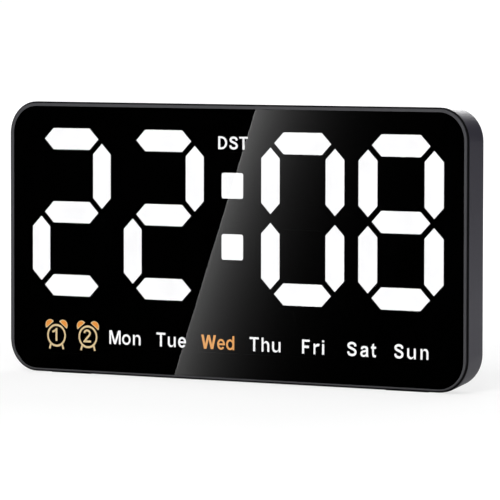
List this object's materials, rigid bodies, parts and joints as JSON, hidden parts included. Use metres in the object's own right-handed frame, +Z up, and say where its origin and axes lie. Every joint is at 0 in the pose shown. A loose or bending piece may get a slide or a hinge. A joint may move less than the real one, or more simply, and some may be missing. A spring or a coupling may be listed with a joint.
{
  "type": "LED day clock",
  "caption": "Slim upright LED day clock: smoked front with large digits, weekday row and alarm icons, grey case, folding back stand.",
  "frame": {"origin": "under the middle of the case at the level it stands on, halfway through its depth", "axes": "+X along the case to the right as seen from the display, -Y out of the display, +Z up"},
  "size_m": [0.25, 0.015, 0.1277],
  "materials": {
    "case_grey": "satin moulded",
    "carrier_black": "matt",
    "trim_grey": "satin",
    "smoked_lens": "polished smoked acrylic",
    "mask_ink": "printed black film",
    "reflector_white": "matt white",
    "lit_white": "lit diffuser",
    "lit_orange": "lit diffuser",
    "unlit_diffuser": "smoked diffuser",
    "board_green": "solder resist",
    "led_package": "phosphor gel in a white cup",
    "chip_black": "moulded",
    "tin": "bright can",
    "buzzer_black": "moulded",
    "holder_black": "moulded",
    "spring_steel": "nickel plated",
    "cell_steel": "stainless",
    "socket_steel": "formed sheet",
    "switch_black": "moulded",
    "button_grey": "satin",
    "screw_steel": "blackened",
    "rubber_black": "matt",
    "stand_grey": "satin moulded"
  },
  "bodies": {
    "case": {"rear_housing": "case_grey", "front_carrier": "carrier_black", "trim_ring": "trim_grey", "front_lens": "smoked_lens", "display_mask": "mask_ink", "segment_reflector": "reflector_white", "hour_tens_lit": "lit_white", "hour_units_lit": "lit_white", "minute_tens_lit": "lit_white", "minute_units_lit": "lit_white", "unlit_segments": "unlit_diffuser", "colon_dots": "lit_white", "weekday_windows": "lit_white", "today_window": "lit_orange", "alarm_windows": "lit_orange", "dst_window": "lit_white", "main_board": "board_green", "segment_leds": "led_package", "indicator_leds": "led_package", "driver_chips": "chip_black", "clock_chip": "chip_black", "crystal": "tin", "capacitors": "tin", "buzzer": "buzzer_black", "cell_holder": "holder_black", "cell_contact": "spring_steel", "backup_cell": "cell_steel", "power_socket": "socket_steel", "socket_tongue": "chip_black", "switch_bodies": "switch_black", "board_screws": "screw_steel", "case_screws": "screw_steel", "feet": "rubber_black", "stand_pin": "spring_steel"},
    "set_button": {"set_button": "button_grey", "set_plunger": "switch_black"},
    "down_button": {"down_button": "button_grey", "down_plunger": "switch_black"},
    "up_button": {"up_button": "button_grey", "up_plunger": "switch_black"},
    "alarm_button": {"alarm_button": "button_grey", "alarm_plunger": "switch_black"},
    "dim_button": {"dim_button": "button_grey", "dim_plunger": "switch_black"},
    "cell_cap": {"cell_cap": "button_grey"},
    "stand": {"stand_leg": "stand_grey", "stand_tip": "rubber_black"}
  },
  "joints": [
    {"name": "stand_hinge", "type": "hinge", "parent": "case", "child": "stand", "pos_m": [0, 0.00575, 0.072], "axis": [1, 0, 0], "range_deg": [0, 30]},
    {"name": "cell_cap_twist", "type": "hinge", "parent": "case", "child": "cell_cap", "pos_m": [0.082, 0.006, 0.0484], "axis": [0, 1, 0], "range_deg": [0, 45]},
    {"name": "set_press", "type": "slide", "parent": "case", "child": "set_button", "axis": [0, -1, 0], "range_m": [0, 0.0005], "stiffness_N_per_m": 400, "springref_m": -0.002},
    {"name": "down_press", "type": "slide", "parent": "case", "child": "down_button", "axis": [0, -1, 0], "range_m": [0, 0.0005], "stiffness_N_per_m": 400, "springref_m": -0.002},
    {"name": "up_press", "type": "slide", "parent": "case", "child": "up_button", "axis": [0, -1, 0], "range_m": [0, 0.0005], "stiffness_N_per_m": 400, "springref_m": -0.002},
    {"name": "alarm_press", "type": "slide", "parent": "case", "child": "alarm_button", "axis": [0, -1, 0], "range_m": [0, 0.0005], "stiffness_N_per_m": 400, "springref_m": -0.002},
    {"name": "dim_press", "type": "slide", "parent": "case", "child": "dim_button", "axis": [0, -1, 0], "range_m": [0, 0.0005], "stiffness_N_per_m": 400, "springref_m": -0.002}
  ]
}
